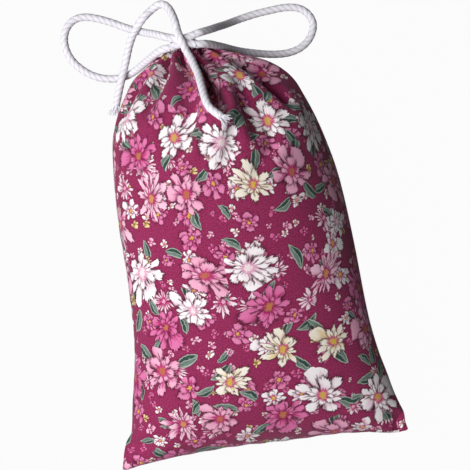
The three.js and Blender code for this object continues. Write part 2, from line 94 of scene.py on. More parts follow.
def even_line(points, spacing):
    """Smooth curve through the points, read off at even spacing."""
    points = np.array(points, float)
    ends = np.vstack([2 * points[0] - points[1], points, 2 * points[-1] - points[-2]])
    t = np.linspace(0, 1, 24, endpoint=False)[:, None]
    pieces = []
    for a, b, c, d in zip(ends, ends[1:], ends[2:], ends[3:]):
        bend = 2 * a - 5 * b + 4 * c - d
        pieces.append(b + t * ((c - a) + t * (bend + t * (3 * b - a - 3 * c + d))) / 2)
    dense = np.vstack(pieces + [points[-1:]])
    run = run_along(dense)
    at = np.linspace(0, run[-1], max(2, round(run[-1] / spacing) + 1))
    return np.stack([np.interp(at, run, dense[:, k]) for k in range(3)], -1)


def route(points):
    """The stretch of cord in mm, in the frame of the part."""
    return [
        (NECK_X + x, CORD_Y + y, LYING_Z + (KNOT_Z - LYING_Z) * up + over * (CORD + CORD_GAP))
        for x, y, up, over in points
    ]


RING_STEP = 0.3
UNRAVELLED = {"left": 10, "front": 8}  # rings at each tail's end that came apart into yarns
left_loop_line = even_line(route(LEFT_LOOP), RING_STEP)
right_loop_line = even_line(route(RIGHT_LOOP), RING_STEP)
left_tail_line = even_line(route(LEFT_TAIL), RING_STEP)[:-UNRAVELLED["left"]]

# Bag: two panels of printed cotton, cut 99 by 154 mm between the seams and sewn together down the sides
# and along the bottom, with the top gathered on the cord. The cloth is relaxed as a net of threads that
# can't stretch, round a filling that presses it out and settles under its own weight.
PANEL_WIDTH, PANEL_LENGTH = 99.0, 154.0
SIDE_SLACK = 3.5  # more cloth is drawn into the hem on the left, where the neck leans
BODY_LENGTH = 137.0
BAG_LENGTH = 142.4
BOTTOM, WAIST, SHOULDER, HEIGHT = 97.0, 78.0, 57.0, 43.0
SEAM_Z, BOTTOM_Z, NECK_Z = 16.0, 12.0, 12.0
NECK_LEAN, NECK_RADIUS = 10.2, 7.0
FLAT_SINK = 3.0
FILLED_VOLUME = 294000.0
ACROSS, ALONG = 72, 112  # threads of the net in one panel


def between(a, b, share):
    return a + (b - a) * share


def curve(*points):
    """Smooth curve through points: share of the body's length from the bottom seam, and a size in mm."""
    x, y = np.array(points, float).T
    low, high = np.maximum(np.arange(len(x)) - 1, 0), np.minimum(np.arange(len(x)) + 1, len(x) - 1)
    slope = (y[high] - y[low]) / (x[high] - x[low])

    def at(share):
        i = np.clip(np.searchsorted(x, share, side="right") - 1, 0, len(x) - 2)
        span, rise = x[i + 1] - x[i], y[i + 1] - y[i]
        t = np.clip((share - x[i]) / span, 0, 1)
        first, last = slope[i] * span - rise, rise - slope[i + 1] * span
        return y[i] + rise * t + t * (1 - t) * (first * (1 - t) + last * t)

    return at


half_width = curve(
    (0, BOTTOM / 2), (.16, between(WAIST, BOTTOM, .47) / 2), (.31, between(WAIST, BOTTOM, .11) / 2),
    (.5, WAIST / 2), (.66, between(SHOULDER, WAIST, .92) / 2), (.77, between(SHOULDER, WAIST, .67) / 2),
    (.84, between(SHOULDER, WAIST, .4) / 2), (.91, SHOULDER / 2),
    (.955, between(NECK_RADIUS, SHOULDER / 2, .75)), (.982, between(NECK_RADIUS, SHOULDER / 2, .34)),
    (1, NECK_RADIUS),
)
side_shift = curve(
    (0, 0), (.45, 0), (.77, -.25 * NECK_LEAN), (.91, -.4 * NECK_LEAN), (.955, -.56 * NECK_LEAN),
    (1, -NECK_LEAN),
)
seam_line = curve(
    (0, BOTTOM_Z), (.25, between(BOTTOM_Z, SEAM_Z, .75)), (.5, SEAM_Z), (.8, between(NECK_Z, SEAM_Z, .8)),
    (1, NECK_Z),
)
front_rise = HEIGHT - SEAM_Z
front_fall = curve(
    (.46, front_rise), (.58, front_rise * .98), (.68, front_rise * .93), (.77, front_rise * .85),
    (.85, front_rise * .74), (.91, front_rise * .63), (.955, front_rise * .48), (.982, front_rise * .35),
    (1, NECK_RADIUS),
)
back_drop = SEAM_Z + FLAT_SINK
back_fall = curve(
    (.7, back_drop), (.84, back_drop * .9), (.92, back_drop * .66), (.965, back_drop * .5), (1, NECK_RADIUS),
)

threads_round = 2 * ACROSS
column = np.arange(threads_round)
turn = 2 * np.pi * column / threads_round  # from the left seam over the front to the right seam and back
share = np.linspace(0, 1, ALONG + 1)

# Two deep folds beside the knot: share of the way round, half width in threads, share of the length where
# they start, gap between their lips in mm, and how much longer the cloth in them is
FOLDS = [(.266, 7, .835, 3.4, .22), (.425, 5, .87, 1.2, .1)]
folds = [(round(place * threads_round), *rest) for place, *rest in FOLDS]
packed, in_fold = np.ones(threads_round), np.zeros(threads_round)
for mid, half, start, lips, slack in folds:
    packed[mid - half:mid + half] = .2
    in_fold = np.maximum(in_fold, slack * np.clip(1 - np.abs(column - mid) / (half + 1), 0, 1))
ends = np.concatenate([[0], np.cumsum(packed)])
front_turn = np.pi * ends[:ACROSS] / ends[ACROSS]
back_turn = np.pi * (1 + (ends[ACROSS:-1] - ends[ACROSS]) / (ends[-1] - ends[ACROSS]))
S, T = np.meshgrid(share, turn, indexing="ij")
drawn_in = np.clip((S - .74) / .18, 0, 1)
T = between(T, np.concatenate([front_turn, back_turn]), drawn_in ** 2 * (3 - 2 * drawn_in))
pinch = np.clip(S / .4, 0, 1) ** 2 * (3 - 2 * np.clip(S / .4, 0, 1))
end_front = np.sin(np.pi / 2 * np.minimum(1, S / .46)) ** .62
end_back = np.sin(np.pi / 2 * np.minimum(1, S / .26)) ** .62
rise = np.where(S < .46, front_rise * end_front, front_fall(S)) * np.abs(np.sin(T)) ** between(1.5, 1, pinch)
drop = np.where(S < .7, back_drop * end_back, back_fall(S)) * np.abs(np.sin(T)) ** between(1.5, .78, pinch)
cloth = np.stack([
    side_shift(S) - half_width(S) * np.cos(T),
    S * BODY_LENGTH,
    np.where(T <= np.pi, seam_line(S) + rise, np.maximum(0, seam_line(S) - drop)),
], -1)

# Gathers: valleys round the neck, as share of the way round, half width in threads, and depth
GATHERS = [
    (.055, 4.5, .7), (.125, 5.5, .7), (.195, 4.5, .6), (.266, 6, 1), (.345, 4.5, .35), (.425, 6, 1),
    (.56, 5.5, .9), (.64, 5.5, .8), (.72, 5.5, .9), (.79, 5.5, .8), (.86, 5.5, .9), (.94, 5.5, .8),
]
gathered = np.zeros(threads_round)
for place, half, depth in GATHERS:
    off = np.abs((column - place * threads_round + ACROSS) % threads_round - ACROSS) / half
    gathered = np.maximum(gathered, depth * np.clip(1 - off, 0, 1))
middle = np.stack([side_shift(share), share * BODY_LENGTH, seam_line(share)], -1)[:, None]
shrink = 1 - .75 * (np.clip((share - .78) / .22, 0, 1) ** 1.5)[:, None] * gathered
cloth = middle + (cloth - middle) * np.stack([shrink, np.ones_like(shrink), shrink], -1)
cloth[..., 2] = np.maximum(cloth[..., 2], 0)
neck_ring = cloth[-1].copy()

warp = (between(PANEL_LENGTH - SIDE_SLACK, PANEL_LENGTH + SIDE_SLACK, .5 - .5 * np.cos(turn)) / ALONG)[None]
warp = warp * (1 + in_fold * (share[1:, None] > .82))
fine_gather = between(1, .8, np.clip((share - .8) / .2, 0, 1))  # small gathers take up a fifth of the width
weft = (PANEL_WIDTH / ACROSS * fine_gather)[:, None]
bias = np.sqrt((.5 * (weft[1:] + weft[:-1])) ** 2 + warp ** 2)

# The side seams keep to the outline of the filled bag, and the bottom seam curves up a little between its
# corners. They are pulled out into blunt ears: how far out and down in mm, and how far that reaches
EARS = {-1: (2.6, 2.8), 1: (1.4, 2.6)}
EAR_REACH, CORNER_ROUND, ROUND_REACH = 8.0, 1.3, 1.6


def to_ear(side, from_corner):
    """Shift of a seam in mm at some distance from the corner on one side."""
    out, down = EARS[side]
    pulled = np.exp(-from_corner / EAR_REACH)[:, None] * np.array([side * out, -down])
    return pulled + CORNER_ROUND * np.exp(-from_corner / ROUND_REACH)[:, None] * np.array([-side, 1])


fine = np.linspace(0, 1, 400)
seam_paths = []
left_ear = curve((0, .2), (.02, 1.7), (.04, 2), (.06, .8), (.08, -.7), (.1, -.8), (.15, 0), (1, 0))
right_ear = curve((0, .3), (.04, 1.2), (.1, .5), (.14, .6), (.2, 0), (.86, 0), (.93, 1.6), (.97, 1.2), (1, 0))
for side, seam_column, ear in ((-1, 0, left_ear), (1, ACROSS, right_ear)):
    outline = np.stack([side_shift(fine) + side * (half_width(fine) + ear(fine)), fine * BODY_LENGTH], -1)
    outline += to_ear(side, fine * BODY_LENGTH)
    run = run_along(outline)
    path = np.stack([np.interp(share * run[-1], run, outline[:, k]) for k in (0, 1)], -1)
    seam_paths.append((seam_column, path))
spread = np.abs((column / ACROSS + 1) % 2 - 1)
bottom_path = np.stack([(BOTTOM + 1) * (spread - .5), 1.2 * (1 - np.abs(2 * spread - 1) ** 3)], -1)
bottom_path[:, 1] += .35 * np.sin(29 * spread + 1) * np.sin(47 * spread) * (1 - np.abs(2 * spread - 1) ** 6)
for side in (-1, 1):
    bottom_path += to_ear(side, (BOTTOM + 1) * np.abs(spread - .5 - side / 2))


def draw_together(a, b, rest, firmness):
    """Moves two sets of points along their joining threads until these have their own length again."""
    gap = b - a
    long = np.sqrt((gap * gap).sum(-1)) + 1e-9
    step = gap * (.5 * firmness * (long - rest) / long)[..., None]
    a += step
    b -= step


RELAX_STEPS, SWEEPS = 260, 4
GLIDE, LATE_GLIDE, LATE = .91, .6, .8  # speed kept from step to step, and less of it in the last fifth
BIAS_FIRMNESS, BEND_FIRMNESS = .2, .4
SEAM_HOLD = .3
SETTLE = 1.0
ORDERED_FROM, THREAD_ROOM = .55, .12  # threads above this share of the length keep so many mm apart
pressed = np.ones((ALONG + 1, threads_round))
for mid, half, start, lips, slack in folds:
    pressed[share > start, mid - half + 1:mid + half] = -.5
before = cloth.copy()
for step in range(RELAX_STEPS):
    last = cloth.copy()
    cloth += (GLIDE if step < LATE * RELAX_STEPS else LATE_GLIDE) * (cloth - before)
    # The filling keeps its volume and presses harder towards the bottom
    push = np.cross(np.roll(cloth, -1, 1) - np.roll(cloth, 1, 1), np.gradient(cloth, axis=0)) * .5
    volume = np.einsum("jik,jik->", cloth - neck_ring.mean(0), push) / 3
    push, volume = push * np.sign(volume), abs(volume)
    swell = np.clip((FILLED_VOLUME - volume) / (push * push).sum(), -.05, .05)
    level = .5 * (cloth[..., 2].max() + cloth[..., 2].min())
    cloth += push * (.5 * swell * (1 + SETTLE * (level - cloth[..., 2]) / (HEIGHT / 2)) * pressed)[..., None]
    for seam_column, path in seam_paths:
        cloth[:, seam_column, :2] += SEAM_HOLD * (path - cloth[:, seam_column, :2])
    cloth[0, :, :2] += SEAM_HOLD * (bottom_path - cloth[0, :, :2])
    for tightening in range(SWEEPS):
        for odd in (0, 1):
            draw_together(cloth[odd:-1:2], cloth[odd + 1::2], warp[odd::2], 1)
        draw_together(cloth[:, 0::2], cloth[:, 1::2], weft, 1)
        draw_together(cloth[:, 1:-1:2], cloth[:, 2::2], weft, 1)
        draw_together(cloth[:, -1], cloth[:, 0], weft[:, 0], 1)
        for odd in (0, 1):
            low, high, slant = cloth[odd:-1:2], cloth[odd + 1::2], bias[odd::2]
            draw_together(low[:, :-1], high[:, 1:], slant[:, :-1], BIAS_FIRMNESS)
            draw_together(low[:, 1:], high[:, :-1], slant[:, :-1], BIAS_FIRMNESS)
            draw_together(low[:, -1], high[:, 0], slant[:, -1], BIAS_FIRMNESS)
            draw_together(low[:, 0], high[:, -1], slant[:, -1], BIAS_FIRMNESS)
        for start in range(4):
            near, far = cloth[start:-2:4], cloth[start + 2::4]
            draw_together(near, far[:len(near)], 2 * warp[start:-1:4][:len(near)], BEND_FIRMNESS)
            near, far = cloth[:, start:-2:4], cloth[:, start + 2::4]
            draw_together(near, far[:, :near.shape[1]], 2 * weft, BEND_FIRMNESS)
        for mid, half, start, lips, slack in folds:
            held = share > start
            open_gap = 2 * half * weft[held, 0]
            lip_gap = between(open_gap, lips, np.clip((share[held] - start) / .05, 0, 1))
            near, far = cloth[held, mid - half], cloth[held, mid + half]
            draw_together(near, far, np.minimum(np.linalg.norm(far - near, axis=-1), lip_gap), .6)
            cloth[held, mid - half], cloth[held, mid + half] = near, far
        sewn = .5 * (cloth[0, 1:ACROSS] + cloth[0, :ACROSS:-1])
        cloth[0, 1:ACROSS] = sewn
        cloth[0, :ACROSS:-1] = sewn
        under = cloth[..., 2] < 0
        cloth[under, 2] = 0
        cloth[under, :2] = between(cloth[under, :2], last[under, :2], .5)
        cloth[-1] = neck_ring
    # Folds press on each other without passing through: threads keep their order round the neck
    upper = int(ORDERED_FROM * ALONG)
    high = cloth[upper:-1]
    rows_share = high[..., 1].mean(1, keepdims=True) / BODY_LENGTH
    for odd in (0, 1):
        here = np.arange(odd, threads_round, 2)
        after = (here + 1) % threads_round
        x, z = high[..., 0] - side_shift(rows_share), high[..., 2] - seam_line(rows_share)
        reach = np.hypot(x, z) + 1e-6
        apart = (z[:, here] * x[:, after] - x[:, here] * z[:, after]) / (reach[:, here] * reach[:, after])
        need = .5 * np.maximum(0, THREAD_ROOM / np.maximum(reach[:, here], 3) - apart)
        high[:, here, 0] -= need * z[:, here]
        high[:, here, 2] += need * x[:, here]
        high[:, after, 0] += need * z[:, after]
        high[:, after, 2] -= need * x[:, after]
    before = last

cloth[..., 1] -= BAG_LENGTH / 2


def put(kind, *inputs, tree=None, out=0, **settings):
    """Adds a node to the tree of the sockets that it reads, or to the one given, and gives back one output.

    The settings are the node's own options, and the inputs fill its sockets in order.
    """
    if tree is None:
        tree = next(value for value in inputs if isinstance(value, bpy.types.NodeSocket)).id_data
    made = tree.nodes.new("ShaderNode" + kind)
    for name, value in settings.items():
        setattr(made, name, value)
    for socket, value in zip(made.inputs, inputs):
        if isinstance(value, bpy.types.NodeSocket):
            tree.links.new(value, socket)
        elif value is not None:
            socket.default_value = value
    return made.outputs[out]


# Sums on nodes, a ramp from one range to another, and a mix of two colours
times, plus, minus, divided, times_plus = (
    partial(put, "Math", operation=name) for name in ("MULTIPLY", "ADD", "SUBTRACT", "DIVIDE", "MULTIPLY_ADD")
)
ramp, mix = partial(put, "MapRange"), partial(put, "MixRGB")


def painted_on(under, paint, *shares, **settings):
    """Paint laid over a picture, as thick as the product of its shares."""
    return mix(reduce(times, shares), under, paint, **settings)


def colour(code):
    """sRGB hex to the linear colour that a shader works in."""
    parts = [int(code[k:k + 2], 16) / 255 for k in (0, 2, 4)]
    return tuple(c / 12.92 if c <= .04045 else ((c + .055) / 1.055) ** 2.4 for c in parts) + (1.0,)


def new_group(name, inputs, outputs):
    """A group of nodes with its sockets; a colour's default is a hex code, a vector's is None."""
    tree = bpy.data.node_groups.new(name, "ShaderNodeTree")
    for way, sockets in (("INPUT", inputs), ("OUTPUT", outputs)):
        for label, start in sockets.items():
            kind = {str: "Color", float: "Float"}.get(type(start), "Vector")
            socket = tree.interface.new_socket(label, in_out=way, socket_type="NodeSocket" + kind)
            if start is not None and way == "INPUT":
                socket.default_value = colour(start) if kind == "Color" else start
    return tree, tree.nodes.new("NodeGroupInput").outputs, tree.nodes.new("NodeGroupOutput").inputs


# Print: a scattered flower print of common kinds, drawn by motif in mm on the flat cloth.
# Scatter: one motif's place in each cell of a loose net, with three random numbers of its own
# and the room that it has in mm up to its nearest neighbour's.
scatter_tree, given, result = new_group(
    "scatter",
    {"Place": None, "Spacing": 20.0, "Shift": None, "Looseness": .6},
    {"Local": None, "Luck": "ffffff", "Room": 0.0},
)
moved = put("VectorMath", given["Place"], given["Shift"], operation="ADD")
cells = put("VectorMath", moved, given["Spacing"], operation="DIVIDE")
seeds = put(
    "TexVoronoi", cells, None, 1.0, None, None, None, None, None, given["Looseness"],
    voronoi_dimensions="2D",
).node.outputs
from_seed = put("VectorMath", cells, seeds["Position"], operation="SUBTRACT")
local = put("VectorMath", from_seed, given["Spacing"], operation="MULTIPLY")
half_way = put(
    "TexVoronoi", cells, None, 1.0, None, None, None, None, None, given["Looseness"],
    voronoi_dimensions="2D", feature="N_SPHERE_RADIUS", out="Radius",
)
room = times(half_way, given["Spacing"])
scatter_tree.links.new(room, result["Room"])
scatter_tree.links.new(local, result["Local"])
scatter_tree.links.new(seeds["Color"], result["Luck"])

# One row of petals: how far inside its edge a point is, and where it lies across its petal and along it.
# Each petal has its own length and leans a little.
row_tree, given, result = new_group(
    "petal_row",
    {"Reach": 0.0, "Turn": 0.0, "Count": 8.0, "Seed": 0.0, "Length": 1.0, "Foot": .3, "Roundness": 2.0},
    {"Inside": 0.0, "Across": 0.0, "Along": 0.0, "Chance": "ffffff"},
)
spoke = times(given["Turn"], given["Count"])
whole = put("Math", spoke, operation="FLOOR")
petal_number = put("Math", whole, given["Count"], 0.0, operation="WRAP")
petal_name = put("CombineXYZ", petal_number, given["Seed"])
chance = put("TexWhiteNoise", petal_name, out=1, noise_dimensions="2D")
luck = put("SeparateColor", chance).node.outputs
part = put("Math", spoke, operation="FRACT")
across = times_plus(part, 2.0, -1.0)
squared = times(across, across)
give = minus(1.0, squared)
lean = times_plus(luck[1], .9, -.45)
leaning = times_plus(give, lean, across)
off_middle = put("Math", leaning, operation="ABSOLUTE")
narrowing = put("Math", off_middle, given["Roundness"], operation="POWER")
left_over = minus(1.0, narrowing)
crown = put("Math", left_over, .55, operation="POWER")
beyond_foot = minus(1.0, given["Foot"])
tip = times_plus(crown, beyond_foot, given["Foot"])
uneven = times_plus(luck[0], .46, .64)
petal_length = times(uneven, given["Length"])
edge = times(tip, petal_length)
inside = minus(edge, given["Reach"])
along = divided(given["Reach"], petal_length)
for name, value in (("Inside", inside), ("Across", leaning), ("Along", along), ("Chance", chance)):
    row_tree.links.new(value, result[name])

# One petal row's paint: deep at the foot and pale at the tip in brush streaks, with a drawn vein
# and broken dark lines between the petals
paint_tree, given, result = new_group(
    "petal_paint",
    {
        "Across": 0.0, "Along": 0.0, "Chance": "808080", "Streak": .5, "Deep": "c04a80", "Tip": "ffffff",
        "Line": "5a1230",
    },
    {"Colour": "ffffff"},
)
luck = put("SeparateColor", given["Chance"]).node.outputs
lively = times_plus(luck[2], .4, -.8)
brushed = times_plus(given["Streak"], 1.2, lively)
toward_tip = plus(given["Along"], brushed)
fade = ramp(toward_tip, .2, .62, 0.0, 1.0, interpolation_type="SMOOTHSTEP")
petal = mix(fade, given["Deep"], given["Tip"])
shade_side = times_plus(given["Streak"], .5, given["Across"])
shade = ramp(shade_side, .45, 1.1, 0.0, .55)
shaded = mix(shade, petal, given["Deep"])
vein_place = times_plus(luck[2], .9, -.45)
from_vein = minus(given["Across"], vein_place)
vein_off = put("Math", from_vein, operation="ABSOLUTE")
vein = ramp(vein_off, .06, .2, .85, 0.0)
vein_end = times_plus(luck[1], .5, .3)
vein_left = minus(vein_end, given["Along"])
vein_there = ramp(vein_left, 0.0, .06, 0.0, 1.0)
veined = painted_on(shaded, given["Line"], vein, vein_there)
border_off = put("Math", given["Across"], operation="ABSOLUTE")
border = ramp(border_off, .62, .84, 0.0, 1.0)
unbroken = ramp(given["Streak"], .38, .46, .25, 1.0)
bordered = painted_on(veined, given["Line"], border, unbroken)
stroke = ramp(given["Streak"], .58, .63, 0.0, .75)
stroke_end = ramp(given["Along"], .4, .62, 1.0, 0.0)
lined = painted_on(bordered, given["Line"], stroke, stroke_end)
paint_tree.links.new(lined, result["Colour"])

# A blossom: one or two rows of petals round an uneven heart and a dotted centre, seen a little from one side
blossom_tree, given, result = new_group(
    "blossom",
    {
        "Local": None, "Luck": "808080", "Under": "8e2452", "Radius": 9.0, "Petals": 9.0, "Foot": .35,
        "Roundness": 2.2, "Second": .6, "Tip": "f8f0f3", "Deep": "d4628f", "Heart": "c23a78",
        "Centre": "d6ad48", "Line": "5a1230",
    },
    {"Colour": "ffffff"},
)
luck = put("SeparateColor", given["Luck"]).node.outputs
way = times(luck[1], 2 * math.pi)
laid = put("VectorRotate", given["Local"], None, None, way, rotation_type="Z_AXIS")
tilt = ramp(luck[2], 0.0, 1.0, 1.0, 1.4)
tilting = put("CombineXYZ", 1.0, tilt, 1.0)
tilted = put("VectorMath", laid, tilting, operation="MULTIPLY")
axes = put("SeparateXYZ", tilted).node.outputs
away = put("VectorMath", tilted, out=1, operation="LENGTH")
size = times_plus(luck[2], .3, .82)
own_radius = times(size, given["Radius"])
even_reach = divided(away, own_radius)
facing = divided(axes[0], away)
near_side = times_plus(facing, .2, 1.0)
reach = divided(even_reach, near_side)
angle = put("Math", axes[1], axes[0], operation="ARCTAN2")
wave = times_plus(angle, 2.0, way)
bunched = put("Math", wave, operation="SINE")
bunching = times_plus(bunched, .3, angle)
turned = times_plus(bunching, 1 / (2 * math.pi), .5)
half_petal = divided(.5, given["Petals"])
half_turned = plus(turned, half_petal)
streak_turn = times_plus(facing, 6.0, luck[1])
sideways = divided(axes[1], away)
streak_side = times(sideways, 6.0)
streak_place = put("CombineXYZ", streak_turn, streak_side, even_reach)
streak = put("TexNoise", streak_place, None, 1.3, 2.0, .7)
notches = put("TexNoise", streak_place, None, 2.6, 2.0, .6)
notch_depth = ramp(notches, .3, .7, -.075, .075)
ragged_reach = plus(reach, notch_depth)
there = put("Math", given["Radius"], .1, operation="GREATER_THAN")
drawn = given["Under"]
for row_length, row_turn, row_seed in ((1.0, turned, 0.0), (given["Second"], half_turned, 7.0)):
    row_name = plus(luck[1], row_seed)
    row = put(
        "Group", ragged_reach, row_turn, given["Petals"], row_name, row_length, given["Foot"],
        given["Roundness"], node_tree=row_tree,
    ).node.outputs
    paint = put(
        "Group", row["Across"], row["Along"], row["Chance"], streak, given["Deep"], given["Tip"],
        given["Line"], node_tree=paint_tree,
    )
    drawn_there = put("Math", row_length, .1, tree=blossom_tree, operation="GREATER_THAN")
    row_there = times(there, drawn_there)
    halo = ramp(row["Inside"], -.25, -.02, 0.0, .25)
    shadowed = painted_on(drawn, colour("9a6a7c"), halo, row_there, blend_type="MULTIPLY")
    rim = ramp(row["Inside"], -.09, -.04, 0.0, 1.6)
    rimmed = painted_on(shadowed, given["Line"], rim, row_there, streak)
    fill = ramp(row["Inside"], -.01, .03, 0.0, 1.0)
    drawn = painted_on(rimmed, paint, fill, row_there)
rough_reach = times_plus(streak, .3, reach)
heart = ramp(rough_reach, .34, .42, .9, 0.0)
hearted = painted_on(drawn, given["Heart"], heart, there)
dots = put("TexNoise", given["Local"], None, 1.6, 1.0, .5)
dotted_reach = times_plus(dots, .3, reach)
eye = ramp(dotted_reach, .26, .31, 1.0, 0.0)
eyed = painted_on(hearted, given["Centre"], eye, there)
blossom_tree.links.new(eyed, result["Colour"])

# A leaf: pointed at both ends and bowed, grey green with dark strokes and a pale edge inside a thin outline.
# Out is how far its middle lies from the scattered place, as for leaves that come out from under a blossom.
leaf_tree, given, result = new_group(
    "leaf",
    {
        "Local": None, "Luck": "808080", "Under": "8e2452", "Turn": 0.0, "Out": 0.0, "Length": 5.5,
        "Width": .36, "Pale": "b9c1b6", "Middle": "6c8077", "Dark": "26433c", "Line": "2c0c18",
    },
    {"Colour": "ffffff"},
)
luck = put("SeparateColor", given["Luck"]).node.outputs
own_turn = plus(luck[1], given["Turn"])
way = times(own_turn, 2 * math.pi)
laid = put("VectorRotate", given["Local"], None, None, way, rotation_type="Z_AXIS")
axes = put("SeparateXYZ", laid).node.outputs
size = times_plus(luck[2], .45, .7)
own_length = times(size, given["Length"])
own_size = put("Math", own_length, .01, operation="MAXIMUM")
from_middle = minus(axes[0], given["Out"])
along = divided(from_middle, own_size)
arched = times(along, along)
bow = times_plus(luck[1], .7, -.35)
bowed = times(arched, bow)
raw_across = divided(axes[1], own_size)
across = minus(raw_across, bowed)
taper = minus(1.0, arched)
tapered = put("Math", taper, 0.0, operation="MAXIMUM")
half_leaf = times(tapered, given["Width"])
off_rib = put("Math", across, operation="ABSOLUTE")
inside = minus(half_leaf, off_rib)
grown = put("Math", own_length, .1, operation="GREATER_THAN")
short_of_end = ramp(arched, 1.0, 1.12, 1.0, 0.0)
there = times(grown, short_of_end)
stroke_place = put("VectorMath", laid, (.8, 2.2, 1), operation="MULTIPLY")
strokes = put("TexNoise", stroke_place, None, .9, 2.0, .6)
outline_drawn = ramp(inside, -.1, -.04, 0.0, 1.0)
outlined = painted_on(given["Under"], given["Line"], outline_drawn, strokes, there)
fill = ramp(inside, -.02, .03, 0.0, 1.0)
body = ramp(inside, .03, .1, 0.0, 1.0)
toned = mix(body, given["Pale"], given["Middle"])
stroke_side = times_plus(across, 1.2, strokes)
dark = ramp(stroke_side, .42, .58, 0.0, .95)
stroked = painted_on(toned, given["Dark"], dark, body)
rib = ramp(off_rib, .02, .05, .6, 0.0)
ribbed = mix(rib, stroked, given["Pale"])
leafed = painted_on(outlined, ribbed, fill, there)
leaf_tree.links.new(leafed, result["Colour"])


def chosen(number, starts, values):
    """The value of the kind that a random number falls in; each kind starts at its own share."""
    picked = values[0]
    for start, value in zip(starts[1:], values[1:]):
        past = put("Math", number, start, operation="GREATER_THAN")
        if isinstance(value, str):
            first = colour(picked) if isinstance(picked, str) else picked
            picked = mix(past, first, colour(value))
        else:
            picked = put("Mix", past, None, picked, value)
    return picked


# Kinds of blossom in each layer, from the smallest up: the share where each starts, radius in mm, petals,
# foot, roundness, second row, and colours of tip, deep parts, heart, centre and lines.
# A radius of 0 leaves the place bare.
TINY = [
    (0, 1.7, 5, .3, 2.0, 0, "e6d19a", "d2a75a", "8e6c2c", "8e6c2c", "4c1428"),
    (.06, 1.8, 5, .3, 2.0, 0, "f8f0ee", "eab9c4", "c2506a", "c99a5c", "4c1428"),
    (.24, 1.9, 4, .2, 1.6, 0, "f3bcd3", "cf5f94", "b92c6e", "f3dfe6", "4c1428"),
    (.45, 1.8, 5, .25, 1.8, 0, "d9689c", "b8346f", "8a1a4a", "e9b9cb", "4c1428"),
    (.72, 0, 5, .3, 2.0, 0, "ffffff", "ffffff", "ffffff", "ffffff", "ffffff"),
]
SMALL = [
    (0, 5.7, 13, .12, 1.2, 0, "f9dfea", "cf4586", "b02468", "e6a4bf", "54102e"),
    (.24, 5.3, 7, .25, 1.7, .55, "fbf3f6", "e8a3c2", "c23a78", "d9b64e", "54102e"),
    (.43, 5.2, 6, .4, 2.4, .5, "e284b1", "c03a7c", "9c1f58", "d5b052", "54102e"),
    (.7, 3.4, 8, .2, 1.3, 0, "ecdcb4", "d3a860", "a8803c", "8a5a24", "4c2020"),
    (.73, 0, 5, .3, 2.0, 0, "ffffff", "ffffff", "ffffff", "ffffff", "ffffff"),
]
LARGE = [
    (0, 10.6, 9, .36, 2.3, .64, "fdf6f9", "efc9d9", "e3a2bf", "f3dfe2", "4c102a"),
    (.2, 10.2, 8, .34, 2.1, .58, "fdf6f9", "f0cfdd", "c8387a", "d4a85a", "4c102a"),
    (.38, 10.0, 7, .4, 2.5, .55, "f0aeca", "cc5490", "b42c6c", "b9684e", "54102e"),
    (.58, 9.4, 9, .33, 2.0, .62, "dd74a8", "b93072", "9a2058", "b8744a", "54102e"),
    (.8, 9.0, 8, .18, 1.5, .55, "f8efe2", "ead2a0", "bf3f7c", "d9b04c", "4e2222"),
    (.86, 8.6, 12, .15, 1.3, .6, "f4c3d8", "c43a7c", "a82464", "c98c5c", "54102e"),
    (.99, 0, 5, .3, 2.0, 0, "ffffff", "ffffff", "ffffff", "ffffff", "ffffff"),
]
# Spacing of the layer's net, its shift in mm, looseness, and its kinds
LAYERS = [
    (5.0, (5.3, 77.1, 0), 1.0, TINY), (9.8, (27.9, 11.3, 0), .9, SMALL), (18.2, (41.3, 22.6, 0), .6, LARGE),
]
OVERLAP = 1.4  # blossoms overlap their neighbours a little
SINGLE_LEAF = 4.2  # half length in mm of a leaf in a bare place
# Leaves round a large blossom: their turn, and the share of blossoms that have them; then how far out they
# lie and their half length, as shares of its radius
BLOSSOM_LEAVES = ((.08, .8), (.41, .45), (.7, .2))
LEAF_OUT, LEAF_LENGTH = .95, .55

# Printed cotton, a plain weave of fine matt yarn: the print sits in the threads, so its colours break up
# a little from thread to thread, and the weave catches the light.
WEAVE = 0.7  # mm; real threads are about 0.4 mm apart, drawn coarser so that they show
GROUND, GROUND_LIGHT = "7d1645", "a43665"
MAP = 100  # mm of cloth or cord in one unit of its map


def new_material(name):
    """A material with its tree of nodes and its shader."""
    material = bpy.data.materials.new(name)
    material.use_nodes = True
    return material, material.node_tree, material.node_tree.nodes["Principled BSDF"]


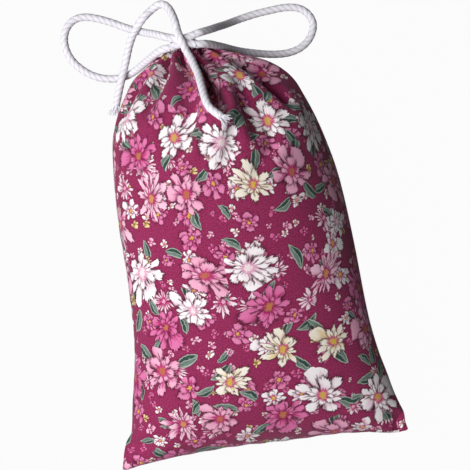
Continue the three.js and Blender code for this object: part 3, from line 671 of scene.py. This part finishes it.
def printed_cotton(name, washed_out):
    """The cloth's right side, or its paler wrong side inside the seams."""
    material, tree, shader = new_material(name)
    flat = put("UVMap", tree=tree, uv_map="flat_cloth")
    place = put("VectorMath", flat, (MAP, MAP, MAP), operation="MULTIPLY")
    drawn_by_hand = place
    for scale, strength in ((.16, 1.6), (.75, .9)):
        wander = put("TexNoise", place, None, scale, 2.0, .5, out=1)
        centred = put("VectorMath", wander, (.5, .5, .5), operation="SUBTRACT")
        drawn_by_hand = put(
            "VectorMath", centred, (strength, strength, 0), drawn_by_hand, operation="MULTIPLY_ADD",
        )
    yarn = put("TexNoise", place, None, 2.2, 3.0, .65)
    mottle = ramp(yarn, .36, .66, 0.0, 1.0)
    picture = mix(mottle, colour(GROUND), colour(GROUND_LIGHT))
    for spacing, shift, looseness, kinds in LAYERS:
        local = put("Group", drawn_by_hand, spacing, shift, looseness, node_tree=scatter_tree)
        luck = local.node.outputs["Luck"]
        number = put("SeparateColor", luck)
        luck_parts = number.node.outputs
        starts = [kind[0] for kind in kinds]
        largest, *looks = [chosen(number, starts, values) for values in list(zip(*kinds))[1:]]
        room = times(local.node.outputs["Room"], OVERLAP)
        radius = put("Math", largest, room, operation="MINIMUM")
        if kinds is SMALL:
            bare = put("Math", number, starts[-1], operation="GREATER_THAN")
            length = times(bare, SINGLE_LEAF)
            picture = put("Group", local, luck, picture, 0.0, 0.0, length, node_tree=leaf_tree)
        if kinds is LARGE:
            for turn, share_of_places in BLOSSOM_LEAVES:
                grown = put("Math", luck_parts[2], share_of_places, operation="LESS_THAN")
                out = times(radius, LEAF_OUT)
                full_length = times(radius, LEAF_LENGTH)
                length = times(full_length, grown)
                picture = put("Group", local, luck, picture, turn, out, length, node_tree=leaf_tree)
        picture = put("Group", local, luck, picture, radius, *looks, node_tree=blossom_tree)
    if washed_out:
        picture = mix(washed_out, picture, colour("c9a3b2"))
    axes = put("SeparateXYZ", place).node.outputs
    across = times(axes[0], 2 * math.pi / WEAVE)
    along = times(axes[1], 2 * math.pi / WEAVE)
    over = put("Math", across, operation="SINE")
    under = put("Math", along, operation="SINE")
    weave = times(over, under)
    thread_tone = times_plus(weave, .06, .97)
    slub = times_plus(yarn, .3, -.15)
    tone = plus(thread_tone, slub)
    toned = put("VectorMath", picture, tone, operation="MULTIPLY")
    tree.links.new(toned, shader.inputs["Base Color"])
    height = times_plus(weave, .05, yarn)
    bumped = put("Bump", .35, .00016, 1.0, height)
    tree.links.new(bumped, shader.inputs["Normal"])
    shader.inputs["Roughness"].default_value = .9
    shader.inputs["Specular IOR Level"].default_value = .25
    shader.inputs["Sheen Weight"].default_value = .12
    shader.inputs["Sheen Roughness"].default_value = .5
    return material


cotton = printed_cotton("printed_cotton", 0)


def net_faces(high, wide, closed=False):
    """Faces of a net of points, row by row; a closed net goes on from the end of each row to its start."""
    return [
        (j * wide + i, j * wide + (i + 1) % wide, (j + 1) * wide + (i + 1) % wide, (j + 1) * wide + i)
        for j in range(high - 1)
        for i in range(wide if closed else wide - 1)
    ]


def mesh_piece(name, points, faces, material, map_name=None, places=None):
    """A smooth mesh from points in mm, with each point's place on a map where it has one."""
    mesh = bpy.data.meshes.new(name)
    mesh.from_pydata((points * MM).tolist(), [], faces)
    if map_name:
        layer = mesh.uv_layers.new(name=map_name)
        corners = np.zeros(len(mesh.loops), int)
        mesh.loops.foreach_get("vertex_index", corners)
        layer.data.foreach_set("uv", places[corners].astype(np.float32).ravel())
    mesh.materials.append(material)
    mesh.shade_smooth()
    piece = bpy.data.objects.new(name, mesh)
    bpy.context.scene.collection.objects.link(piece)
    return piece


def grid_piece(name, rows, flat_rows, material):
    """A piece of cloth from rows of points in mm, with their places on the flat cloth."""
    places = flat_rows.reshape(-1, 2) / MAP
    return mesh_piece(name, rows.reshape(-1, 3), net_faces(*rows.shape[:2]), material, "flat_cloth", places)


round_again = np.concatenate([cloth, cloth[:, :1]], 1)
flat_u, flat_v = np.meshgrid(np.arange(threads_round + 1) * PANEL_WIDTH / ACROSS, share * PANEL_LENGTH)
flat_cloth = np.stack([flat_u, flat_v], -1)
halves = {"front": slice(0, ACROSS + 1), "back": slice(ACROSS, threads_round + 1)}
for side, part in halves.items():
    panel = grid_piece(side + "_panel_cloth", round_again[:, part], flat_cloth[:, part], cotton)
    smoother = panel.modifiers.new("smooth", "SUBSURF")
    smoother.levels = smoother.render_levels = 1
    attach(panel, "bag")
    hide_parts(side + "_panel")

# Hem: the panels' top edge turned over a channel for the cord, stitched down and drawn up tight,
# so that its pleats run on from the gathers and close over the middle.
HEM_START, HEM_LENGTH = 138.0, 4.4
# The hem's section: share of its length, and of the neck's width
HEM_ROUND = [
    (0, 1), (.12, 1.02), (.3, .96), (.5, .87), (.7, .76), (.86, .63), (.96, .5), (1, .38), (.97, .25),
    (.88, .14),
]
centre = np.array([-NECK_LEAN, 0, NECK_Z])
hem_rows, hem_flat = [], []
for k, (up, wide) in enumerate(HEM_ROUND):
    ring = centre + (neck_ring - np.array([0, BODY_LENGTH, 0]) - centre) * np.array([wide, 0, wide])
    ring[:, 1] = (HEM_START if k else BODY_LENGTH) + up * HEM_LENGTH - BAG_LENGTH / 2
    hem_rows.append(np.concatenate([ring, ring[:1]]))
    hem_flat.append(np.stack([flat_u[0], np.full(threads_round + 1, PANEL_LENGTH + 1 + k * 1.1)], -1))
hem_rows, hem_flat = np.array(hem_rows), np.array(hem_flat)
for side, part in halves.items():
    hem = grid_piece(side + "_hem", hem_rows[:, part], hem_flat[:, part], cotton)
    smoother = hem.modifiers.new("smooth", "SUBSURF")
    smoother.levels = smoother.render_levels = 1
    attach(hem, "bag")
    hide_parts(side + "_casing")

# Seam allowances: the panels' raw edges, turned to the inside when the bag was sewn and pulled through,
# two layers of cloth 5 mm wide that show the print's paler wrong side.
ALLOWANCE, CLOTH = 5.0, 0.3
wrong_side = printed_cotton("printed_cotton_wrong_side", .45)
rows_middle = cloth.mean(1)
inner_rows = slice(int(.12 * ALONG), int(.9 * ALONG))
seam_lines = {}
for side, seam_column in (("left", 0), ("right", ACROSS)):
    points = cloth[inner_rows, seam_column]
    inward = rows_middle[inner_rows] - points
    inward[:, 1:] = 0
    seam_lines[side] = (points, inward / np.abs(inward[:, :1]), share[inner_rows] * PANEL_LENGTH)
inner_columns = slice(int(.15 * ACROSS), int(.85 * ACROSS))
points = cloth[0, inner_columns]
upward = np.tile((0.0, 1.0, 0.0), (len(points), 1))
seam_lines["bottom"] = (points, upward, column[inner_columns] * PANEL_WIDTH / ACROSS)
# Section of the two layers: how deep inside the seam, and how far up
ALLOWANCE_SECTION = [
    (1, -CLOTH), (3.2, -CLOTH - .1), (1 + ALLOWANCE, -CLOTH), (1 + ALLOWANCE, CLOTH), (3.2, CLOTH + .1),
    (1, CLOTH), (1, -CLOTH),
]
WRONG_SIDE_AT = 200  # mm; the edges show another stretch of the print
for side, (points, inward, run) in seam_lines.items():
    rows = np.stack([points + inward * deep + np.array([0, 0, up]) for deep, up in ALLOWANCE_SECTION], 1)
    flat_rows = np.stack(
        [np.stack([np.full(len(run), WRONG_SIDE_AT + deep), run], -1) for deep, up in ALLOWANCE_SECTION], 1,
    )
    allowance = grid_piece(side + "_seam_edges", rows, flat_rows, wrong_side)
    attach(allowance, "bag")
    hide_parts(side + "_seam_allowance")

# Sewing thread: burgundy spun thread, a lockstitch every 2.4 mm just inside the seams and under the hem.
# Twisted from two plies, with a slight slanting sheen painted into its colour: lighter on the plies' crowns
# and darker between them.
STITCH, STITCH_GAP, THREAD = 1.7, 0.7, 0.36


def sweep(line, radius, around=8, shape=None):
    """Rings of points along a line in mm and their faces; shape gives each ring point's own radius."""
    line = np.asarray(line, float)
    ahead = np.gradient(line, axis=0)
    ahead /= np.linalg.norm(ahead, axis=1, keepdims=True)
    side = np.cross(ahead[0], (0, 0, 1) if abs(ahead[0][2]) < .9 else (1, 0, 0))
    turns = 2 * np.pi * np.arange(around) / around
    run = run_along(line)
    rings = []
    for k, (point, way) in enumerate(zip(line, ahead)):
        side = side - way * (side @ way)
        side /= np.linalg.norm(side)
        up = np.cross(side, way)
        out = radius if shape is None else radius * shape(run[k], turns)
        out = np.broadcast_to(out, turns.shape)[:, None]
        rings.append(point + out * (np.cos(turns)[:, None] * side + np.sin(turns)[:, None] * up))
    count = len(line)
    points = np.vstack(rings + [line[:1], line[-1:]])
    faces = [(a, d, c, b) for a, b, c, d in net_faces(count, around, closed=True)]
    first, last = count * around, count * around + 1
    end = last - 1 - around
    faces += [(first, i, (i + 1) % around) for i in range(around)]
    faces += [(last, end + (i + 1) % around, end + i) for i in range(around)]
    lengths = np.concatenate([np.repeat(run, around), [run[0], run[-1]]])
    angles = np.concatenate([np.tile(turns, count), [0, 0]])
    return points, faces, np.stack([lengths, angles], -1)


def swept_piece(name, sweeps, material):
    """One mesh from several swept lines, with length in mm and angle round the line as its map."""
    points, faces, places = [], [], []
    for some_points, some_faces, some_places in sweeps:
        base = sum(len(p) for p in points)
        faces += [tuple(base + i for i in face) for face in some_faces]
        points.append(some_points)
        places.append(some_places)
    places = np.vstack(places) / np.array([MAP, 2 * np.pi])
    return mesh_piece(name, np.vstack(points), faces, material, "along_cord", places)


spun_thread, tree, shader = new_material("spun_sewing_thread")
along = put("UVMap", tree=tree, uv_map="along_cord")
plies = put("Mapping", along, None, (0, 0, .6), (260, 6, 1))
ply_marks = put("TexWave", plies, 1.0, 1.0)
# Painted sheen and shade: light and dark burgundy in slanting stripes along the plies
thread_colour_with_painted_sheen = mix(ply_marks, colour("5e1233"), colour("8f2a55"))
tree.links.new(thread_colour_with_painted_sheen, shader.inputs["Base Color"])
tree.links.new(put("Bump", .4, .0001, 1.0, ply_marks), shader.inputs["Normal"])
shader.inputs["Roughness"].default_value = .7
shader.inputs["Sheen Weight"].default_value = .1


def stitches(line):
    """Short lengths of thread along a line of points in mm."""
    run = run_along(line)
    made = []
    for start in np.arange(.5, run[-1] - STITCH, STITCH + STITCH_GAP):
        at = start + STITCH * np.linspace(0, 1, 5)
        stitch = np.stack([np.interp(at, run, line[:, k]) for k in range(3)], -1)
        made.append(sweep(stitch, THREAD / 2, 6))
    return made


for side, (points, inward, run) in seam_lines.items():
    thread = swept_piece(side + "_seam_stitches", stitches(points + .5 * inward), spun_thread)
    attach(thread, "bag")
    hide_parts(side + "_seam_thread")
under_hem = centre + (neck_ring - np.array([0, BODY_LENGTH, 0]) - centre) * 1.02
under_hem[:, 1] = BODY_LENGTH + .5 - BAG_LENGTH / 2
under_hem = np.concatenate([under_hem, under_hem[:1]])
for side, part in halves.items():
    thread = swept_piece(side + "_hem_stitches", stitches(under_hem[part]), spun_thread)
    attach(thread, "bag")
    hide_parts(side + "_casing_thread")

# Filling: dried lavender buds, loose and light, that fill the bag up to its cloth and settle to its bottom.
# Small ribbed buds lie every way, grey violet with a few straw bits of stem among them.
FILLING_INSET, SEAM_ROOM, BUD = 1.2, 2.5, 3.2
FILLED_ROWS = slice(8, -10)  # rows of the net from above the bottom seam's edges to under the neck
to_middle = rows_middle[FILLED_ROWS, None] - cloth[FILLED_ROWS]
to_middle /= np.linalg.norm(to_middle, axis=-1, keepdims=True)
facing = np.cross(np.roll(cloth, -1, 1) - np.roll(cloth, 1, 1), np.gradient(cloth, axis=0))[FILLED_ROWS]
facing /= np.linalg.norm(facing, axis=-1, keepdims=True)
# Half square to the cloth and half towards the row's middle, so that no bud comes out through a crease
inner_way = to_middle + facing * np.sign((facing * to_middle).sum())
inner_way /= np.linalg.norm(inner_way, axis=-1, keepdims=True)
from_seam = np.minimum(np.abs((column + ACROSS / 2) % ACROSS - ACROSS / 2), ACROSS) * PANEL_WIDTH / ACROSS
inset = FILLING_INSET + (ALLOWANCE + 1) * np.exp(-(from_seam / SEAM_ROOM) ** 2)
filling_rows = cloth[FILLED_ROWS] + inner_way * inset[None, :, None]
count = len(filling_rows)
filling_points = np.vstack([filling_rows.reshape(-1, 3), filling_rows[:1].mean(1), filling_rows[-1:].mean(1)])
filling_faces = net_faces(count, threads_round, closed=True)
bottom_point, top_point = count * threads_round, count * threads_round + 1
top_row = (count - 1) * threads_round
for i in range(threads_round):
    filling_faces.append((bottom_point, (i + 1) % threads_round, i))
    filling_faces.append((top_point, top_row + i, top_row + (i + 1) % threads_round))
dried_lavender, tree, shader = new_material("dried_lavender_buds")
spot = put("TexCoord", tree=tree, out=3)
buds = put("TexVoronoi", spot, None, 1 / (BUD * MM)).node.outputs
bud_luck = put("SeparateColor", buds["Color"])
straw = ramp(bud_luck, .82, .9, 0.0, 1.0)
violet = mix(bud_luck, colour("4f4673"), colour("8d82ad"))
bud_colour = mix(straw, violet, colour("9a8f6c"))
tree.links.new(bud_colour, shader.inputs["Base Color"])
bumped = put("Bump", 1.0, BUD * MM / 2, 1.0, buds["Distance"], invert=True)
tree.links.new(bumped, shader.inputs["Normal"])
shader.inputs["Roughness"].default_value = 1
filling = mesh_piece("lavender_buds", filling_points, filling_faces, dried_lavender)
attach(filling, "bag")
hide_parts("lavender_filling")

# Cord: soft white cotton cord, 2.6 mm thick, three plies twisted together.
# Lavender grey shade is painted between the plies and their crowns are painted lighter, and it is slightly
# fuzzy, so it reads as soft white with slanting marks.
PLIES, LAY, PLY_DEPTH = 3, 6.6, .1
ROUND_CORD = 24


def twist(at, turns):
    """Radius of the cord at one place along it and all round, as share of its mean radius."""
    ply = np.abs(np.sin(PLIES / 2 * (turns + 2 * np.pi * at / LAY)))
    return 1 + PLY_DEPTH * (ply ** .8 - .7)


twisted_cotton, tree, shader = new_material("white_cotton_cord")
along = put("UVMap", tree=tree, uv_map="along_cord")
axes = put("SeparateXYZ", along).node.outputs
lay_turns = times_plus(axes[0], MAP / LAY, axes[1])
ply_turn = times(lay_turns, PLIES * math.pi)
ply_wave = put("Math", ply_turn, operation="SINE")
ply_crown = put("Math", ply_wave, operation="ABSOLUTE")
yarn_place = put("CombineXYZ", axes[0], lay_turns)
yarn_run = put("Mapping", yarn_place, None, (0, 0, 0), (60, 14, 1))
yarns = put("TexNoise", yarn_run, None, 1.6, 3.0, .6)
# Painted shade: lavender grey between the plies and white on their crowns, broken up a little by the fuzzy
# yarns
lit_yarns = times_plus(yarns, .5, ply_crown)
painted_ply_shade = ramp(lit_yarns, .3, 1.1, 0.0, 1.0)
yarn_colour_with_painted_shade = mix(painted_ply_shade, colour("d9d4e1"), colour("f1eff5"))
tree.links.new(yarn_colour_with_painted_shade, shader.inputs["Base Color"])
tree.links.new(put("Bump", .4, .00012, 1.0, yarns), shader.inputs["Normal"])
shader.inputs["Roughness"].default_value = .95
shader.inputs["Specular IOR Level"].default_value = .2
shader.inputs["Sheen Weight"].default_value = .2


def cord_piece(name, line, node):
    piece = swept_piece(name, [sweep(line, CORD / 2, ROUND_CORD, twist)], twisted_cotton)
    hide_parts(node)
    return piece


# Ends of the cord: cut with scissors and a little unravelled into loose yarns
FRAY, FRAY_YARNS, FRAY_YARN = 3.8, 22, .34
fray_chance = np.random.default_rng(5)


def frayed_end(name, line, body):
    """Loose yarns that spread from the last point of a line in mm, down to the cloth or the surface."""
    ahead = line[-1] - line[-4]
    ahead /= np.linalg.norm(ahead)
    side = np.cross(ahead, (0, 0, 1))
    side /= np.linalg.norm(side)
    up = np.cross(side, ahead)
    yarns = []
    for turn in np.arange(FRAY_YARNS) * 2.4:
        out = side * math.cos(turn) + up * (.5 * math.sin(turn))
        start = CORD * .42 * math.sqrt(fray_chance.random())
        long = FRAY * fray_chance.uniform(.35, 1)
        lean = fray_chance.uniform(.05, .5)
        along = np.linspace(-1, long, 7)[:, None]
        spread = start + lean * np.maximum(along, 0) ** 1.3
        yarn = line[-1] + along * ahead + out * spread
        yarn[:, 2] = np.maximum(yarn[:, 2], line[-1, 2] - CORD / 2 + FRAY_YARN / 2)
        yarns.append(sweep(yarn, FRAY_YARN / 2, 6))
    piece = swept_piece(name, yarns, twisted_cotton)
    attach(piece, body)
    return piece


# Loops of the bow: each goes out from the knot, down to the surface beside the neck and back.
# They are held by the knot alone, and their line turns down where it leaves it.
LOOPS = ((-1, "left_loop", left_loop_line, .113), (1, "right_loop", right_loop_line, .114))
for side, body, line, long in LOOPS:
    loop = cord_piece(body + "_cord", line, body)
    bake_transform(loop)

# Left tail: one end of the cord, which comes out of the top of the knot, turns and lies over the left loop
left_tail = cord_piece("left_tail_cord", left_tail_line, "left_tail")
left_fray = frayed_end("left_tail_yarns", left_tail_line, "left_tail")
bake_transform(left_tail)

# Front tail: the other end, which comes out of the bottom of the knot and lies on the cloth of the front,
# across the hollows between the gathers.
front_cloth = BVHTree.FromPolygons(
    [tuple(p) for p in round_again[:, halves["front"]].reshape(-1, 3)], net_faces(ALONG + 1, ACROSS + 1),
)


def cloth_height(x, y):
    """Height of the front's cloth in mm at a place, or the surface below where there is none."""
    hit = front_cloth.ray_cast(Vector((x, y, 100)), Vector((0, 0, -1)))[0]
    return hit.z if hit else 0.0


FRONT_FOOT, TUGS, SAG = .65, 400, .01  # its start above the knot's middle in mm, and its sag at each tug
flat_line = even_line([(NECK_X + x, CORD_Y + y, 0) for x, y in FRONT_TAIL], 1)
rests = np.array([max(cloth_height(x + off, y) for off in (-1, 0, 1)) for x, y, z in flat_line]) + CORD / 2
lies = np.maximum(rests, 0)
lies[:2] = KNOT_Z + FRONT_FOOT
for tug in range(TUGS):
    lies[2:-1] = np.maximum(rests[2:-1], .5 * (lies[1:-2] + lies[3:]) - SAG)
front_tail_line = even_line(np.column_stack([flat_line[:, :2], lies]), RING_STEP)[:-UNRAVELLED["front"]]
front_tail = cord_piece("front_tail_cord", front_tail_line, "front_tail")
front_fray = frayed_end("front_tail_yarns", front_tail_line, "front_tail")
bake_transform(front_tail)

# Knot: the two loops' ends squeezed side by side, with one turn of the cord drawn tight over them,
# and the cord's two ends coming up to it out of the hem.
def knot_line(points):
    return even_line([(NECK_X + x, CORD_Y + y, KNOT_Z + z) for x, y, z in points], RING_STEP)


knot_strands = [
    [(-4.4, 1.7, 0), (-2.6, 1.2, .1), (0, .85, .1), (2.6, 1.2, .1), (4.4, 1.7, 0)],
    [(-4.4, -1.7, 0), (-2.6, -1.2, .1), (0, -.85, .1), (2.6, -1.2, .1), (4.4, -1.7, 0)],
    [
        (-1.3, 3.8, 0), (-1.05, 2.6, .8), (-.65, 1.1, 1.7), (-.1, -.5, 1.85), (.35, -2.2, 1.35),
        (.85, -3.8, .65),
    ],
    [(-.9, 2.2, .7), (-1.1, 2, -.8), (-.6, .3, -1.9), (.2, -1.6, -1.3), (.5, -2.3, .5)],
    [(-.2, 0, -1.4), (-.5, .1, -4), (-.9, .2, -7), (-1.2, .2, -9.5)],
]
knot_sweeps = [sweep(knot_line(points), CORD / 2, ROUND_CORD, twist) for points in knot_strands]
knot = swept_piece("bow_knot_cord", knot_sweeps, twisted_cotton)
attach(knot, "bag")
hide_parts("bow_knot")

# Cord in the hem: the rest of the cord, drawn up into a small ring inside the channel
DRAWN_RADIUS = 3.0
ring = [
    (NECK_X + DRAWN_RADIUS * math.cos(a), CORD_Y, NECK_Z + DRAWN_RADIUS * math.sin(a))
    for a in np.radians(np.linspace(140, 400, 17))
]
drawn_sweep = sweep(even_line(ring, RING_STEP), CORD / 2, ROUND_CORD, twist)
drawn_cord = swept_piece("hem_cord", [drawn_sweep], twisted_cotton)
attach(drawn_cord, "bag")
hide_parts("neck_cord")

# Camera straight above the bag, rolled as it lies in the picture, with a long lens from about half a metre
camera = bpy.data.objects.new("camera", bpy.data.cameras.new("camera"))
bpy.context.scene.collection.objects.link(camera)
camera.data.sensor_width, camera.data.lens = 36, 100
camera.location = (-.0012, .0022, .461)
camera.rotation_euler = (0, 0, math.radians(-7.45))
camera.data.clip_start = .01
bpy.context.scene.camera = camera

# Surface: white card, plain white to the eye, with the soft shadow that the bag casts on it
floor_mesh = bpy.data.meshes.new("floor")
floor_mesh.from_pydata([(-3, -3, 0), (3, -3, 0), (3, 3, 0), (-3, 3, 0)], [], [(0, 1, 2, 3)])
floor = bpy.data.objects.new("floor", floor_mesh)
bpy.context.scene.collection.objects.link(floor)
card, tree, matt = new_material("white_card")
matt.inputs["Base Color"].default_value = colour("626262")
matt.inputs["Roughness"].default_value = .9
seen = put("LightPath", tree=tree).node.outputs
seen_or_mirrored = put("Math", seen["Is Camera Ray"], seen["Is Glossy Ray"], operation="MAXIMUM")
seen_at_all = put("Math", seen_or_mirrored, seen["Is Transmission Ray"], operation="MAXIMUM")
glow = put("Emission", (1, 1, 1, 1), 1.0, tree=tree)
share_of_white = times(seen_at_all, .965)
both = put("MixShader", share_of_white, matt.outputs[0], glow)
tree.links.new(both, tree.nodes["Material Output"].inputs["Surface"])
floor_mesh.materials.append(card)

# Light: a large soft window high on the left, and an even white room
world = bpy.data.worlds.new("room")
world.use_nodes = True
world.node_tree.nodes["Background"].inputs["Color"].default_value = (1, 1, 1, 1)
world.node_tree.nodes["Background"].inputs["Strength"].default_value = .06
bpy.context.scene.world = world
lamp = bpy.data.objects.new("window", bpy.data.lights.new("window", "AREA"))
lamp.data.size = .65
lamp.data.energy = 8.4
lamp.location = (-.45, -.05, .65)
lamp.rotation_mode = "QUATERNION"
lamp.rotation_quaternion = (-lamp.location).to_track_quat("-Z", "Y")
bpy.context.scene.collection.objects.link(lamp)
bpy.context.scene.view_settings.view_transform = "Standard"
